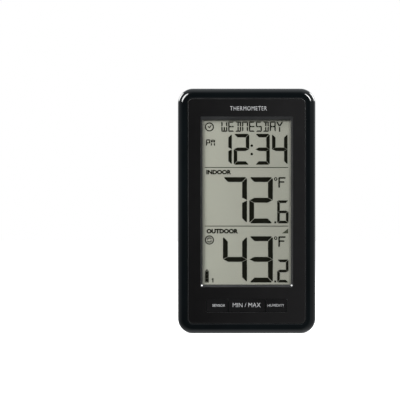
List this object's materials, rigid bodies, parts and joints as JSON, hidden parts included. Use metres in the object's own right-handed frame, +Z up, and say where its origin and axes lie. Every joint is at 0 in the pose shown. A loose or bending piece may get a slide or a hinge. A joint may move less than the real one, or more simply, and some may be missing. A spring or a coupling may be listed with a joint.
{
  "type": "maximum minimum thermometer",
  "caption": "Upright digital maximum and minimum thermometer display with front keys, rear battery bay, hanging keyhole and fold-out stand.",
  "frame": {"origin": "middle of the base that the unit stands on, halfway between its front and back", "axes": "+Z up, the display faces -Y, +X to the right of a person who looks at the display"},
  "size_m": [0.0852, 0.028, 0.1515],
  "materials": {
    "gloss_black": "gloss",
    "face_black": "satin",
    "shell_black": "matte",
    "clear_lens": "gloss",
    "lcd_ground": "satin",
    "lcd_ink": "satin",
    "lcd_glass": "gloss",
    "key_print": "matte",
    "carrier_white": "matte",
    "black_rubber": "matte",
    "board_green": "satin",
    "chip_black": "satin",
    "tinned_steel": "satin",
    "copper_wire": "satin",
    "bare_ceramic": "matte",
    "cell_wrap": "gloss",
    "grey_foam": "matte",
    "red_wire": "satin",
    "black_wire": "satin"
  },
  "bodies": {
    "case_body": {"front_case": "gloss_black", "face_plate": "face_black", "lens_tape": "black_rubber", "display_lens": "clear_lens", "lcd_polarizer": "lcd_ground", "lcd_front_glass": "lcd_glass", "lcd_rear_glass": "lcd_glass", "lcd_reflector": "lcd_ground", "display_frame": "carrier_white", "zebra_strip_upper": "black_rubber", "zebra_strip_lower": "black_rubber", "main_board": "board_green", "driver_chip_blob": "chip_black", "clock_crystal": "tinned_steel", "filter_capacitor": "chip_black", "humidity_sensor": "bare_ceramic", "thermistor": "chip_black", "receiver_board": "board_green", "receiver_chip": "chip_black", "receiver_crystal": "tinned_steel", "antenna_coil": "copper_wire", "rear_case": "shell_black", "battery_upper": "cell_wrap", "battery_lower": "cell_wrap", "battery_contact_positive": "tinned_steel", "battery_contact_negative": "tinned_steel", "battery_contact_bridge": "tinned_steel", "battery_lead_red": "red_wire", "battery_lead_black": "black_wire", "switch_body_sensor": "chip_black", "switch_body_min_max": "chip_black", "switch_body_humidity": "chip_black", "switch_body_set": "chip_black", "switch_body_plus": "chip_black", "switch_body_minus": "chip_black", "case_screw_1": "tinned_steel", "board_screw_1": "tinned_steel", "case_screw_2": "tinned_steel", "board_screw_2": "tinned_steel", "case_screw_3": "tinned_steel", "board_screw_3": "tinned_steel", "case_screw_4": "tinned_steel", "board_screw_4": "tinned_steel"},
    "battery_door": {"battery_door": "shell_black", "door_foam_pad": "grey_foam"},
    "stand": {"stand": "shell_black"},
    "sensor_key": {"key_sensor": "face_black", "switch_plunger_sensor": "bare_ceramic"},
    "min_max_key": {"key_min_max": "face_black", "switch_plunger_min_max": "bare_ceramic"},
    "humidity_key": {"key_humidity": "face_black", "switch_plunger_humidity": "bare_ceramic"},
    "set_key": {"key_set": "black_rubber", "switch_plunger_set": "bare_ceramic"},
    "plus_key": {"key_plus": "black_rubber", "switch_plunger_plus": "bare_ceramic"},
    "minus_key": {"key_minus": "black_rubber", "switch_plunger_minus": "bare_ceramic"}
  },
  "joints": [
    {"name": "stand_fold", "type": "hinge", "parent": "case_body", "child": "stand", "pos_m": [0, 0.012, 0.0062], "axis": [-1, 0, 0], "range_deg": [0, 80]},
    {"name": "battery_door_open", "type": "hinge", "parent": "case_body", "child": "battery_door", "pos_m": [0, 0.014, 0.0503], "axis": [-1, 0, 0], "range_deg": [0, 75]},
    {"name": "sensor_press", "type": "slide", "parent": "case_body", "child": "sensor_key", "axis": [0, 1, 0], "range_m": [0, 0.0006], "stiffness_N_per_m": 1500},
    {"name": "min_max_press", "type": "slide", "parent": "case_body", "child": "min_max_key", "axis": [0, 1, 0], "range_m": [0, 0.0006], "stiffness_N_per_m": 1500},
    {"name": "humidity_press", "type": "slide", "parent": "case_body", "child": "humidity_key", "axis": [0, 1, 0], "range_m": [0, 0.0006], "stiffness_N_per_m": 1500},
    {"name": "set_press", "type": "slide", "parent": "case_body", "child": "set_key", "axis": [0, -1, 0], "range_m": [0, 0.0006], "stiffness_N_per_m": 1500},
    {"name": "plus_press", "type": "slide", "parent": "case_body", "child": "plus_key", "axis": [0, -1, 0], "range_m": [0, 0.0006], "stiffness_N_per_m": 1500},
    {"name": "minus_press", "type": "slide", "parent": "case_body", "child": "minus_key", "axis": [0, -1, 0], "range_m": [0, 0.0006], "stiffness_N_per_m": 1500}
  ]
}
